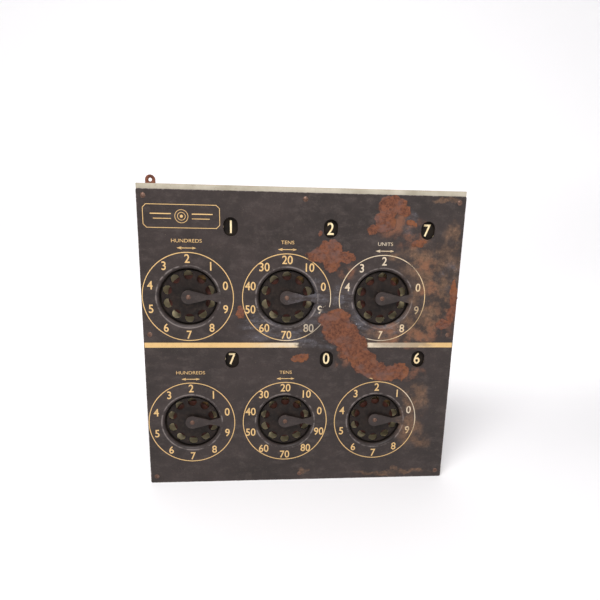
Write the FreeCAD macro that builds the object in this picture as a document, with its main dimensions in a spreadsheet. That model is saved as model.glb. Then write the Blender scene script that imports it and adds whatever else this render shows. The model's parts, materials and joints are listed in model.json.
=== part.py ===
"""Scoring board for darts: a pressed steel front on a painted wooden frame, with two rows of
three finger dials. Each dial turns a number disc behind a window through a train of three gears.

Frame: +X to the right seen from the front, +Y into the wall, +Z up. The origin is on the bottom
face, halfway across the board and halfway through the wooden frame. Millimetres.
Angles are measured in the XZ plane from +X towards +Z.
"""
import FreeCAD, Part

import math
import os

import Sketcher
from FreeCAD import Rotation, Vector

SIZES = {
    # outline and frame
    "board_wide": 457.2,
    "panel_high": 440.0,
    "frame_high": 447.0,
    "frame_deep": 32.0,
    "rail_high": 20.0,
    "top_rail_high": 25.0,
    "stile_wide": 20.0,
    "cover_thick": 3.0,
    "cover_inset": 1.0,
    # front panel
    "panel_thick": 1.6,
    "corner_radius": 3.0,
    "opening_radius": 41.0,
    "lip_bend": 4.0,
    "lip_deep": 4.3,
    "window_wide": 20.0,
    "window_high": 26.0,
    "boss_radius": 10.0,
    "boss_shoulder": 62.0,
    "neck_half": 3.3,
    "neck_at": 26.0,
    "neck_flare": 7.5,
    "screw_x": 219.5,
    "screw_top": 431.0,
    "screw_middle": 237.0,
    "screw_bottom": 10.5,
    "screw_shank": 1.6,
    "screw_head": 3.6,
    "screw_dome": 1.4,
    "wood_screw": 14.0,
    # dust rings behind the dial openings
    "ring_bore": 38.0,
    "ring_inner": 41.2,
    "ring_outer": 42.6,
    "ring_flange": 7.6,
    "ring_back": 8.4,
    # dial grid, from the first dial's centre
    "first_x": -163.6,
    "column_pitch": 139.7,
    "upper_z": 291.8,
    "lower_z": 99.4,
    "window_reach": 116.5,
    "window_angle": 58.7,
    # layers, as distances behind the panel's front face
    "disc_front": 4.0,
    "wheel_front": 5.0,
    "lever_front": 9.4,
    "gear_front": 12.0,
    "plate_front": 18.0,
    # wheels and discs
    "wheel_radius": 38.4,
    "wheel_thick": 2.0,
    "finger_radius": 6.5,
    "finger_circle": 31.2,
    "first_finger": 18.0,
    "disc_radius": 42.0,
    "disc_thick": 1.2,
    # gears
    "tooth_module": 2.7,
    "dial_teeth": 20.0,
    "idler_teeth": 13.0,
    "gear_thick": 3.0,
    "tooth_backlash": 0.3,
    "hub_radius": 7.0,
    "idler_hub": 6.0,
    "idler_hub_front": 11.6,
    "flange_radius": 30.5,
    "flange_front": 10.5,
    "flange_thick": 1.0,
    # axles
    "axle_radius": 2.5,
    "running_gap": 0.05,
    "end_float": 0.2,
    "axle_head": 3.4,
    "axle_dome": 1.4,
    "spacer_radius": 4.2,
    "nut_radius": 4.4,
    "nut_thick": 3.0,
    "clip_radius": 4.5,
    "clip_thick": 0.5,
    "stud_end": 0.6,
    # mechanism board and battens
    "plate_thick": 5.0,
    "plate_gap": 0.4,
    "batten_high": 18.0,
    "board_screw": 9.0,
    "board_screw_x": 170.0,
    # carry levers
    "lever_thick": 2.0,
    "lever_half": 4.0,
    "lever_tip": 2.0,
    "lever_hub": 6.0,
    "lever_hub_long": 4.0,
    "lever_clear": 0.8,
    "pawl_wide": 4.0,
    "pin_radius": 1.5,
    "pin_circle": 27.7,
    # leaf springs
    "leaf_thick": 0.8,
    "leaf_long": 34.0,
    "leaf_below": 4.0,
    "leaf_nose": 2.0,
    "leaf_clear": 0.35,
    "leaf_foot": 6.0,
    # back cover screws
    "cover_screw": 9.0,
    "countersink": 1.8,
    # hanger
    "hanger_x": -218.0,
    "hanger_z": 454.0,
    "hanger_eye": 7.0,
    "hanger_hole": 2.6,
    "hanger_thick": 1.6,
    "hanger_tail": 46.0,
    "hanger_screw": 12.0,
    "hanger_dome": 1.3,
    "notch_gap": 0.3,
    # round-headed screw in the right-hand side
    "side_screw_z": 293.0,
    "side_screw_depth": 6.0,
    "side_screw_long": 10.0,
    "side_screw_head": 3.0,
    "side_screw_out": 3.4,
}

COLUMNS = ("hundreds", "tens", "units")
ROWS = ("upper", "lower")
PRESSURE_ANGLE = math.radians(20.0)
ADDENDUM = 0.9
DEDENDUM = 1.2
ALONG_Y = Rotation(Vector(1, 0, 0), -90)
ALONG_X = Rotation(Vector(0, 1, 0), 90)

doc = FreeCAD.newDocument("scoring_board")
sheet = doc.addObject("Spreadsheet::Sheet", "Sizes")
for row, (alias, value) in enumerate(SIZES.items(), start=1):
    sheet.set(f"A{row}", alias)
    sheet.set(f"B{row}", str(value))
    sheet.setAlias(f"B{row}", alias)
doc.recompute()

nodes = []


def size(alias):
    return float(sheet.get(alias))


def cells(expression):
    """Turns {alias} into a reference to the spreadsheet."""
    return expression.replace("{", "Sizes.").replace("}", "")


def depth(expression):
    """A place given as a distance behind the panel's front face, as a Y coordinate."""
    return f"({expression}) - {{frame_deep}} / 2 - {{panel_thick}}"


def bind(shape, **expressions):
    for key, expression in expressions.items():
        shape.setExpression(key, cells(expression))
    return shape


def place(shape, x, y, z, rotation=None):
    """Binds an object's position to expressions, with an optional turn."""
    shape.Placement = FreeCAD.Placement(Vector(), rotation or Rotation())
    for axis, expression in zip("xyz", (x, y, z)):
        shape.setExpression(f"Placement.Base.{axis}", cells(expression))
    return shape


def named(shape, label):
    """Marks an object as a finished sub-part."""
    shape.Label = label
    nodes.append(shape)
    return shape


def box(x, y, z, wide, deep, high):
    """A box whose lowest corner is at x, y, z."""
    solid = doc.addObject("Part::Box", "Box")
    bind(solid, Length=wide, Width=deep, Height=high)
    return place(solid, x, y, z)


def rod(x, y, z, radius, length, rotation=ALONG_Y):
    """A cylinder from x, y, z, along +Y unless turned."""
    solid = doc.addObject("Part::Cylinder", "Rod")
    bind(solid, Radius=radius, Height=length)
    return place(solid, x, y, z, rotation)


def fuse(shapes):
    joined = doc.addObject("Part::MultiFuse", "Fuse")
    joined.Shapes = shapes
    joined.Refine = True
    return joined


def group(shapes):
    """Separate solids kept as one node, for identical fasteners."""
    together = doc.addObject("Part::Compound", "Group")
    together.Links = shapes
    return together


def cut(base, tools):
    left = doc.addObject("Part::Cut", "Cut")
    left.Base = base
    left.Tool = tools[0] if len(tools) == 1 else fuse(tools)
    return left


def dome(x, y, z, radius, high, turn=Rotation()):
    """A round head that stands high above its flat side at x, y, z, towards -Y unless turned."""
    ball = (radius * radius + high * high) / (2 * high)
    cap = doc.addObject("Part::Sphere", "Dome")
    cap.Radius = ball
    cap.Angle1 = math.degrees(math.asin((ball - high) / ball))
    cap.Angle2 = 90
    cap.Angle3 = 360
    towards_front = turn.multiply(Rotation(Vector(1, 0, 0), 90))
    back = towards_front.multVec(Vector(0, 0, -(ball - high)))
    return place(cap, f"{x} + {back.x:.6f}", f"{y} + {back.y:.6f}", f"{z} + {back.z:.6f}",
                 towards_front)


def column_x(column):
    return f"({{first_x}} + {column} * {{column_pitch}})"


def row_z(row):
    return "{upper_z}" if row == 0 else "{lower_z}"


# Each dial's gear train lies on one line, towards its window.
DIRECTION = size("window_angle")
PITCH_RADIUS = size("tooth_module") * size("dial_teeth") / 2
TIP_RADIUS = PITCH_RADIUS + ADDENDUM * size("tooth_module")
TO_IDLER = "({tooth_module} * ({dial_teeth} + {idler_teeth}) / 2)"


def along(column, row, reach):
    """X and Z expressions of a point reach away from a dial's centre, towards its window."""
    x = f"({column_x(column)} + {reach} * cos({{window_angle}}))"
    z = f"({row_z(row)} + {reach} * sin({{window_angle}}))"
    return x, z


def idler_centre(column, row):
    return along(column, row, TO_IDLER)


def number_centre(column, row):
    return along(column, row, f"(2 * {TO_IDLER})")


DIALS = [(column, row) for row in range(len(ROWS)) for column in range(len(COLUMNS))]


def dial_name(column, row):
    return f"{ROWS[row]}_{COLUMNS[column]}"


# ---------------------------------------------------------------- front panel

def lip(column, row):
    """The rim of a dial opening: the sheet turns inwards through a quarter round."""
    bend = size("lip_bend")
    thick = size("panel_thick")
    inner = size("opening_radius")
    flat = inner + bend
    outer = flat + thick
    deep = size("lip_deep")
    half = math.sqrt(0.5)
    profile = Part.Wire([
        Part.LineSegment(Vector(outer, 0, 0), Vector(flat, 0, 0)).toShape(),
        Part.Arc(Vector(flat, 0, 0), Vector(flat - bend * half, bend * (1 - half), 0),
                 Vector(inner, bend, 0)).toShape(),
        Part.LineSegment(Vector(inner, bend, 0), Vector(inner, deep, 0)).toShape(),
        Part.LineSegment(Vector(inner, deep, 0), Vector(inner + thick, deep, 0)).toShape(),
        Part.LineSegment(Vector(inner + thick, deep, 0), Vector(inner + thick, bend, 0)).toShape(),
        Part.Arc(Vector(inner + thick, bend, 0),
                 Vector(flat - (bend - thick) * half, bend - (bend - thick) * half, 0),
                 Vector(flat, thick, 0)).toShape(),
        Part.LineSegment(Vector(flat, thick, 0), Vector(outer, thick, 0)).toShape(),
        Part.LineSegment(Vector(outer, thick, 0), Vector(outer, 0, 0)).toShape(),
    ])
    ring = doc.addObject("Part::Feature", "Lip")
    ring.Shape = Part.Face(profile).revolve(Vector(), Vector(0, 1, 0), 360)
    return place(ring, column_x(column), depth("0"), row_z(row))


def tongue(column, row):
    """The finger stop: a neck of sheet from the opening's right side, ending in the axle boss."""
    neck = size("neck_half")
    neck_x = size("neck_at")
    boss = size("boss_radius")
    edge = size("opening_radius") + size("lip_bend")
    flare_long = size("neck_flare")
    root = neck + flare_long
    root_angle = math.asin(root / edge)
    root_x = edge * math.cos(root_angle)
    turn = math.radians(size("boss_shoulder"))
    shoulder = Vector(boss * math.cos(turn), 0, boss * math.sin(turn))
    slope_at, slope_wide, flare_wide = 0.68, 1.75, 1.45

    def side(sign):
        start = Vector(shoulder.x, 0, sign * shoulder.z)
        waist = Vector(neck_x, 0, sign * neck)
        end = Vector(root_x, 0, sign * root)
        slope = Part.BSplineCurve()
        slope.interpolate([start, Vector(neck_x * slope_at, 0, sign * neck * slope_wide), waist])
        flare = Part.BSplineCurve()
        flare.interpolate([waist, Vector(neck_x + flare_long, 0, sign * neck * flare_wide), end],
                          InitialTangent=Vector(1, 0, 0),
                          FinalTangent=Vector(0.25, 0, sign * 1.0))
        return slope.toShape(), flare.toShape()

    upper_slope, upper_flare = side(1)
    lower_slope, lower_flare = side(-1)
    outer = Vector(edge + 1.0, 0, 0)
    root_arc = Part.Arc(Vector(root_x, 0, root), outer, Vector(root_x, 0, -root)).toShape()
    boss_arc = Part.Arc(Vector(shoulder.x, 0, shoulder.z), Vector(-boss, 0, 0),
                        Vector(shoulder.x, 0, -shoulder.z)).toShape()
    outline = Part.Wire(Part.sortEdges(
        [upper_slope, upper_flare, root_arc, lower_flare, lower_slope, boss_arc])[0])
    strip = doc.addObject("Part::Feature", "Tongue")
    strip.Shape = Part.Face(outline).extrude(Vector(0, size("panel_thick"), 0))
    return place(strip, column_x(column), depth("0"), row_z(row))


def window(column, row):
    """An upright slot with round ends."""
    x, z = along(column, row, "{window_reach}")
    half = "{window_wide} / 2"
    straight = "({window_high} - {window_wide})"
    front = depth("-1")
    long = "{panel_thick} + 2"
    middle = box(f"{x} - {half}", front, f"{z} - {straight} / 2", "{window_wide}", long, straight)
    upper = rod(x, front, f"{z} + {straight} / 2", half, long)
    lower = rod(x, front, f"{z} - {straight} / 2", half, long)
    return fuse([middle, upper, lower])


PANEL_SCREWS = [
    (f"{side} * {{screw_x}}", height)
    for height, sides in (("{screw_top}", (-1, 0, 1)), ("{screw_middle}", (-1, 1)),
                          ("{screw_bottom}", (-1, 0, 1)))
    for side in sides
]


def panel_sheet():
    """The flat sheet, as a body padded from a rectangle with its corners rounded."""
    body = doc.addObject("PartDesign::Body", "PanelSheet")
    plane = [f for f in body.Origin.OriginFeatures if f.Role == "XZ_Plane"][0]
    sketch = body.newObject("Sketcher::SketchObject", "PanelOutline")
    sketch.AttachmentSupport = (plane, "")
    sketch.MapMode = "FlatFace"
    wide = size("board_wide")
    high = size("panel_high")
    corners = [Vector(-wide / 2, 0), Vector(wide / 2, 0), Vector(wide / 2, high),
               Vector(-wide / 2, high)]
    for start, end in zip(corners, corners[1:] + corners[:1]):
        sketch.addGeometry(Part.LineSegment(start, end))
    for edge in range(4):
        sketch.addConstraint(Sketcher.Constraint("Coincident", edge, 2, (edge + 1) % 4, 1))
    for edge, kind in enumerate(("Horizontal", "Vertical", "Horizontal", "Vertical")):
        sketch.addConstraint(Sketcher.Constraint(kind, edge))
    sketch.addConstraint(Sketcher.Constraint("Symmetric", 0, 1, 0, 2, -1, 1))
    sketch.addConstraint(Sketcher.Constraint("DistanceX", 0, 1, 0, 2, wide))
    sketch.setExpression(f"Constraints[{sketch.ConstraintCount - 1}]", "Sizes.board_wide")
    sketch.addConstraint(Sketcher.Constraint("DistanceY", 1, 1, 1, 2, high))
    sketch.setExpression(f"Constraints[{sketch.ConstraintCount - 1}]", "Sizes.panel_high")
    pad = body.newObject("PartDesign::Pad", "PanelPad")
    pad.Profile = sketch
    pad.setExpression("Length", "Sizes.panel_thick")
    pad.Reversed = True
    doc.recompute()
    upright = [f"Edge{i + 1}" for i, edge in enumerate(pad.Shape.Edges)
               if abs(edge.BoundBox.YLength - size("panel_thick")) < 1e-6]
    rounding = body.newObject("PartDesign::Fillet", "PanelCorners")
    rounding.Base = (pad, upright)
    rounding.setExpression("Radius", "Sizes.corner_radius")
    place(body, "0", depth("0"), "0")
    doc.recompute()
    return body


def front_panel():
    front = depth("-1")
    through = "{panel_thick} + 2"
    holes = [rod(column_x(c), front, row_z(r), "{opening_radius} + {lip_bend}", through)
             for c, r in DIALS]
    holes += [window(c, r) for c, r in DIALS]
    holes += [rod(x, front, z, "{screw_shank}", through) for x, z in PANEL_SCREWS]
    pierced = cut(panel_sheet(), holes)
    dressed = fuse([pierced] + [lip(c, r) for c, r in DIALS] + [tongue(c, r) for c, r in DIALS])
    axle_holes = [rod(column_x(c), front, row_z(r), "{axle_radius}", through) for c, r in DIALS]
    named(cut(dressed, axle_holes), "front_panel")


def dust_rings():
    """Dark rings behind the lips, which close the gap round each finger wheel."""
    rings = []
    for c, r in DIALS:
        x, z = column_x(c), row_z(r)
        front = "{lip_deep}"
        whole = rod(x, depth(front), z, "{ring_outer}", "{ring_back} - {lip_deep}")
        wide = rod(x, depth(f"{front} - 1"), z, "{ring_inner}", "{ring_flange} - {lip_deep} + 1")
        bore = rod(x, depth(front), z, "{ring_bore}", "{ring_back} - {lip_deep} + 1")
        rings.append(cut(whole, [wide, bore]))
    named(group(rings), "dust_rings")


# ------------------------------------------------------ frame, boards and hanger

HANGER_SCREWS = ("({hanger_z} - 16)", "({hanger_z} - 38)")
COVER_SCREWS = [
    (f"{side} * {{screw_x}}", height)
    for height, sides in (("{frame_high} - 14", (0, 1)), ("{frame_high} - 44", (1,)),
                          ("{frame_high} / 2", (-1, 1)), ("10", (-1, 0, 1)))
    for side in sides
]
FRAME_FRONT = depth("{panel_thick}")
FRAME_BACK = "{frame_deep} / 2"
HALF_WIDE = "{board_wide} / 2"


def screw_path(x, z):
    """The hole that a front panel screw makes in the wood."""
    return rod(x, FRAME_FRONT, z, "{screw_shank}", "{wood_screw}")


def frame():
    inner_high = "{frame_high} - {rail_high} - {top_rail_high}"
    left = f"-{HALF_WIDE}"
    bottom = box(left, FRAME_FRONT, "0", "{board_wide}", "{frame_deep}", "{rail_high}")
    top = box(left, FRAME_FRONT, "{frame_high} - {top_rail_high}", "{board_wide}",
              "{frame_deep}", "{top_rail_high}")
    left_stile = box(left, FRAME_FRONT, "{rail_high}", "{stile_wide}", "{frame_deep}", inner_high)
    right_stile = box(f"{HALF_WIDE} - {{stile_wide}}", FRAME_FRONT, "{rail_high}",
                      "{stile_wide}", "{frame_deep}", inner_high)
    paths = [screw_path(x, z) for x, z in PANEL_SCREWS]
    backs = [cover_path(x, z) for x, z in COVER_SCREWS]
    top_hanger, side_hanger = (hanger_path(z) for z in HANGER_SCREWS)
    named(cut(top, paths[0:3] + backs[0:2] + [top_hanger]), "top_rail")
    named(cut(left_stile, [paths[3], backs[3], side_hanger]), "left_stile")
    side_path = rod(f"{HALF_WIDE} - {{side_screw_long}}", depth("{side_screw_depth}"),
                    "{side_screw_z}", "{screw_shank}", "{side_screw_long} + 2", ALONG_X)
    named(cut(right_stile, [paths[4], backs[2], backs[4], side_path]), "right_stile")
    named(cut(bottom, paths[5:8] + backs[5:8]), "bottom_rail")


def hanger_path(z):
    """A hanger screw's hole through the hanger plate into the frame."""
    return rod("{hanger_x}", f"{FRAME_BACK} - {{hanger_screw}}", z, "{screw_shank}",
               "2 * {hanger_screw}")


def cover_path(x, z):
    """A back cover screw's hole into the frame."""
    return rod(x, f"{FRAME_BACK} - {{cover_screw}}", z, "{screw_shank}", "2 * {cover_screw}")


def sunk_head(x, z):
    """A countersunk head, flush with the back of the cover."""
    head = doc.addObject("Part::Cone", "SunkHead")
    bind(head, Radius1="{screw_shank}", Radius2="{screw_head}", Height="{countersink}")
    return place(head, x, f"{FRAME_BACK} + {{cover_thick}} - {{countersink}}", z, ALONG_Y)


def back_cover():
    """A flat sheet with countersunk screws; one top corner is cut away round the hanger."""
    left = f"-{HALF_WIDE} + {{cover_inset}}"
    cover = box(left, FRAME_BACK, "{cover_inset}", "{board_wide} - 2 * {cover_inset}",
                "{cover_thick}", "{frame_high} - 2 * {cover_inset}")
    notch = box(f"{left} - 1", f"{FRAME_BACK} - 1", "{hanger_z} - {hanger_tail} - {notch_gap}",
                f"{{hanger_x}} + {{hanger_eye}} + {{notch_gap}} - ({left}) + 1",
                "{cover_thick} + 2", "{hanger_tail} + {hanger_eye}")
    paths = [cover_path(x, z) for x, z in COVER_SCREWS] + [sunk_head(x, z) for x, z in COVER_SCREWS]
    named(cut(cover, paths + [notch]), "back_cover")
    screws = []
    for x, z in COVER_SCREWS:
        shank = rod(x, f"{FRAME_BACK} - {{cover_screw}}", z, "{screw_shank}",
                    "{cover_screw} + {cover_thick} - {countersink}")
        screws.append(fuse([shank, sunk_head(x, z)]))
    named(group(screws), "cover_screws")


def hanger():
    """A flat plate on the back of the frame, with a round eye that stands above the top rail."""
    eye = rod("{hanger_x}", FRAME_BACK, "{hanger_z}", "{hanger_eye}", "{hanger_thick}")
    tail = box("{hanger_x} - {hanger_eye}", FRAME_BACK, "{hanger_z} - {hanger_tail}",
               "2 * {hanger_eye}", "{hanger_thick}", "{hanger_tail}")
    hole = rod("{hanger_x}", f"{FRAME_BACK} - 1", "{hanger_z}", "{hanger_hole}",
               "{hanger_thick} + 2")
    named(cut(fuse([eye, tail]), [hole] + [hanger_path(z) for z in HANGER_SCREWS]), "hanger_plate")
    screws = []
    for z in HANGER_SCREWS:
        shank = rod("{hanger_x}", f"{FRAME_BACK} - {{hanger_screw}}", z, "{screw_shank}",
                    "{hanger_screw} + {hanger_thick}")
        head = dome("{hanger_x}", f"{FRAME_BACK} + {{hanger_thick}}", z, size("screw_head"),
                    size("hanger_dome"), Rotation(Vector(0, 0, 1), 180))
        screws.append(fuse([shank, head]))
    named(group(screws), "hanger_screws")


def panel_screws():
    screws = []
    for x, z in PANEL_SCREWS:
        shank = rod(x, depth("0"), z, "{screw_shank}", "{wood_screw} + {panel_thick}")
        head = dome(x, depth("0"), z, size("screw_head"), size("screw_dome"))
        screws.append(fuse([shank, head]))
    named(group(screws), "panel_screws")


def side_screw():
    shank = rod(f"{HALF_WIDE} - {{side_screw_long}}", depth("{side_screw_depth}"),
                "{side_screw_z}", "{screw_shank}", "{side_screw_long}", ALONG_X)
    head = dome(HALF_WIDE, depth("{side_screw_depth}"), "{side_screw_z}", size("side_screw_head"),
                size("side_screw_out"), Rotation(Vector(0, 0, 1), 90))
    named(fuse([shank, head]), "side_screw")


def mechanism_plate():
    """The board inside the frame that carries every axle, held by a batten along two edges."""
    left = f"-{HALF_WIDE} + {{stile_wide}} + {{plate_gap}}"
    wide = "{board_wide} - 2 * {stile_wide} - 2 * {plate_gap}"
    high = "{frame_high} - {rail_high} - {top_rail_high} - 2 * {plate_gap}"
    plate = box(left, depth("{plate_front}"), "{rail_high} + {plate_gap}", wide, "{plate_thick}",
                high)
    holes = []
    for c, r in DIALS:
        for x, z in ((column_x(c), row_z(r)), idler_centre(c, r), number_centre(c, r)):
            holes.append(rod(x, depth("{plate_front} - 1"), z, "{axle_radius}", "{plate_thick} + 2"))
    holes += [rod(x, depth("{plate_front} - 1"), z, "{axle_radius}", "{plate_thick} + 2")
              for x, z in lever_pivots()]
    heights = ("{rail_high}", "{frame_high} - {top_rail_high} - {batten_high}")
    battens = [box(left, depth("{plate_front} + {plate_thick}"), z, wide,
                   "{frame_deep} + {panel_thick} - {plate_front} - {plate_thick}", "{batten_high}")
               for z in heights]
    screws = []
    paths = [[], []]
    for index, z in enumerate(heights):
        for side in (-1, 0, 1):
            x = f"{side} * {{board_screw_x}}"
            middle = f"{z} + {{batten_high}} / 2"
            start = depth("{plate_front}")
            shank = rod(x, start, middle, "{screw_shank}", "{board_screw}")
            screws.append(fuse([shank, dome(x, start, middle, size("screw_head"),
                                            size("screw_dome"))]))
            for pile in (holes, paths[index]):
                pile.append(rod(x, start, middle, "{screw_shank}", "{board_screw}"))
    named(cut(plate, holes), "mechanism_board")
    named(cut(battens[0], paths[0]), "lower_batten")
    named(cut(battens[1], paths[1]), "upper_batten")
    named(group(screws), "board_screws")


# --------------------------------------------------------------- moving pieces

def finger_wheel(column, row):
    """A disc with ten finger holes and a bore, as a body with a polar pattern."""
    label = dial_name(column, row)
    body = doc.addObject("PartDesign::Body", f"Wheel_{label}")
    role = {f.Role: f for f in body.Origin.OriginFeatures}

    def circles(name, rounds):
        sketch = body.newObject("Sketcher::SketchObject", name)
        sketch.AttachmentSupport = (role["XZ_Plane"], "")
        sketch.MapMode = "FlatFace"
        for x, z, radius in rounds:
            sketch.addGeometry(Part.Circle(Vector(x, z, 0), Vector(0, 0, 1), radius))
        return sketch

    bore = size("axle_radius") + size("running_gap")
    outline = circles("Outline", [(0, 0, size("wheel_radius")), (0, 0, bore)])
    for index, expression in enumerate(("Sizes.wheel_radius",
                                        "Sizes.axle_radius + Sizes.running_gap")):
        outline.addConstraint(Sketcher.Constraint("Coincident", index, 3, -1, 1))
        outline.addConstraint(Sketcher.Constraint("Radius", index, 1.0 + index))
        outline.setExpression(f"Constraints[{outline.ConstraintCount - 1}]", expression)
    pad = body.newObject("PartDesign::Pad", "Disc")
    pad.Profile = outline
    pad.setExpression("Length", "Sizes.wheel_thick")
    pad.Reversed = True
    angle = math.radians(size("first_finger"))
    circle = size("finger_circle")
    finger = circles("Finger", [(circle * math.cos(angle), circle * math.sin(angle),
                                 size("finger_radius"))])
    finger.addConstraint(Sketcher.Constraint("Radius", 0, size("finger_radius")))
    finger.setExpression("Constraints[0]", "Sizes.finger_radius")
    doc.recompute()
    before = pad.Shape.Volume
    hole = body.newObject("PartDesign::Pocket", "FingerHole")
    hole.Profile = finger
    hole.Type = "ThroughAll"
    hole.Midplane = True
    doc.recompute()
    pattern = body.newObject("PartDesign::PolarPattern", "FingerHoles")
    pattern.Originals = [hole]
    pattern.Axis = (role["Y_Axis"], [""])
    pattern.Angle = 360
    pattern.Occurrences = 10
    body.Tip = pattern
    place(body, column_x(column), depth("{wheel_front}"), row_z(row))
    doc.recompute()
    one = math.pi * size("finger_radius") ** 2 * size("wheel_thick")
    if abs(before - body.Shape.Volume - 10 * one) > 1.0:
        raise SystemExit(f"finger_wheel_{label}: the finger holes were not all cut")
    named(body, f"finger_wheel_{label}")


def involute(angle):
    return math.tan(angle) - angle


def gear_outline(teeth, first_tooth):
    """A spur gear's outline in the XZ plane, with its first tooth pointing along first_tooth."""
    module = size("tooth_module")
    pitch = module * teeth / 2
    base = pitch * math.cos(PRESSURE_ANGLE)
    tip = pitch + ADDENDUM * module
    root = pitch - DEDENDUM * module
    half_at_pitch = math.pi / (2 * teeth) - size("tooth_backlash") / (2 * pitch)

    def half_angle(radius):
        return half_at_pitch + involute(PRESSURE_ANGLE) - involute(math.acos(base / radius))

    def point(radius, angle):
        return Vector(radius * math.cos(angle), 0, radius * math.sin(angle))

    flank = [max(base, root), (max(base, root) + tip) / 2, tip]
    edges = []
    for tooth in range(teeth):
        middle = math.radians(first_tooth) + 2 * math.pi * tooth / teeth
        rising = [point(r, middle - half_angle(r)) for r in flank]
        falling = [point(r, middle + half_angle(r)) for r in reversed(flank)]
        foot = half_angle(flank[0])
        root_start = point(root, middle - foot)
        root_end = point(root, middle + foot)
        next_start = point(root, middle + 2 * math.pi / teeth - foot)
        edges += [
            Part.LineSegment(root_start, rising[0]).toShape(),
            Part.Arc(*rising).toShape(),
            Part.Arc(rising[2], point(tip, middle), falling[0]).toShape(),
            Part.Arc(*falling).toShape(),
            Part.LineSegment(falling[2], root_end).toShape(),
            Part.Arc(root_end, point(root, middle + math.pi / teeth), next_start).toShape(),
        ]
    return Part.Face(Part.Wire(edges))


def y_rod(radius, start, end, x=0.0, z=0.0):
    return Part.makeCylinder(radius, end - start, Vector(x, start, z), Vector(0, 1, 0))


def gear(label, teeth, first_tooth, hub_front, hub_radius, x, z, pin_angle=None, flanged=False):
    """A gear with a hub in front of it; it may have a carry pin on one tooth, or a round flange."""
    front = size("gear_front")
    back = front + size("gear_thick")
    shape = gear_outline(teeth, first_tooth).extrude(Vector(0, size("gear_thick"), 0))
    shape.translate(Vector(0, front, 0))
    shape = shape.fuse(y_rod(hub_radius, hub_front, back))
    if pin_angle is not None:
        turn = math.radians(pin_angle)
        circle = size("pin_circle")
        shape = shape.fuse(y_rod(size("pin_radius"), size("lever_front"), back,
                                 circle * math.cos(turn), circle * math.sin(turn)))
    if flanged:
        flange = size("flange_front")
        shape = shape.fuse(y_rod(size("flange_radius"), flange, flange + size("flange_thick")))
    bore = size("axle_radius") + size("running_gap")
    shape = shape.cut(y_rod(bore, hub_front - 1, back + 1)).removeSplitter()
    body = doc.addObject("Part::Feature", "Gear")
    body.Shape = shape
    named(place(body, x, depth("0"), z), label)


def gear_train(column, row):
    """Dial gear, idler and number gear in one plane, in mesh at rest on one straight line."""
    name = dial_name(column, row)
    teeth = int(size("dial_teeth"))
    idler_teeth = int(size("idler_teeth"))
    gear(f"dial_gear_{name}", teeth, DIRECTION, size("wheel_front") + size("wheel_thick"),
         size("hub_radius"), column_x(column), row_z(row), flanged=True)
    x, z = idler_centre(column, row)
    gear(f"idler_gear_{name}", idler_teeth, DIRECTION, size("idler_hub_front"),
         size("idler_hub"), x, z)
    x, z = number_centre(column, row)
    gear(f"number_gear_{name}", teeth, DIRECTION + 180 + 180 / teeth,
         size("disc_front") + size("disc_thick"), size("hub_radius"), x, z,
         pin_angle=DIRECTION + 180 / teeth if column > 0 else None)


def number_disc(column, row):
    x, z = number_centre(column, row)
    disc = rod(x, depth("{disc_front}"), z, "{disc_radius}", "{disc_thick}")
    bore = rod(x, depth("{disc_front} - 1"), z, "{axle_radius} + {running_gap}", "{disc_thick} + 2")
    named(cut(disc, [bore]), f"number_disc_{dial_name(column, row)}")


# ------------------------------------------------- carry levers between the columns

LEVER_PAIRS = [(column, row) for row in range(len(ROWS)) for column in (1, 2)]


def lever_pivots():
    """Pivot points, midway between two neighbouring number wheels."""
    places = []
    for column, row in LEVER_PAIRS:
        x, z = number_centre(column, row)
        places.append((f"({x} - {{column_pitch}} / 2)", z))
    return places


def carry_lever(column, row, x, z):
    """A flat lever: its right tip waits beside the pinned tooth, its left pawl beside a gear."""
    reach = size("column_pitch") / 2 - TIP_RADIUS - size("lever_clear")
    front = size("lever_front")
    back = front + size("lever_thick")
    half = size("lever_half")
    tip = size("lever_tip")
    corners = [Vector(-reach, front, -tip), Vector(0, front, -half), Vector(reach, front, -tip),
               Vector(reach, front, tip), Vector(0, front, half), Vector(-reach, front, tip)]
    plate = Part.Face(Part.makePolygon(corners + corners[:1]))
    shape = plate.extrude(Vector(0, size("lever_thick"), 0))
    pawl_deep = size("gear_front") + size("gear_thick") - front
    shape = shape.fuse(Part.makeBox(size("pawl_wide"), pawl_deep, 2 * tip,
                                    Vector(-reach, front, -tip)))
    hub_back = back + size("lever_hub_long")
    shape = shape.fuse(y_rod(size("lever_hub"), front, hub_back))
    bore = size("axle_radius") + size("running_gap")
    shape = shape.cut(y_rod(bore, front - 1, hub_back + 1)).removeSplitter()
    lever = doc.addObject("Part::Feature", "Lever")
    lever.Shape = shape
    named(place(lever, x, depth("0"), z), f"carry_lever_{dial_name(column, row)}")


# ----------------------------------------------------------- axles and their fittings

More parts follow.
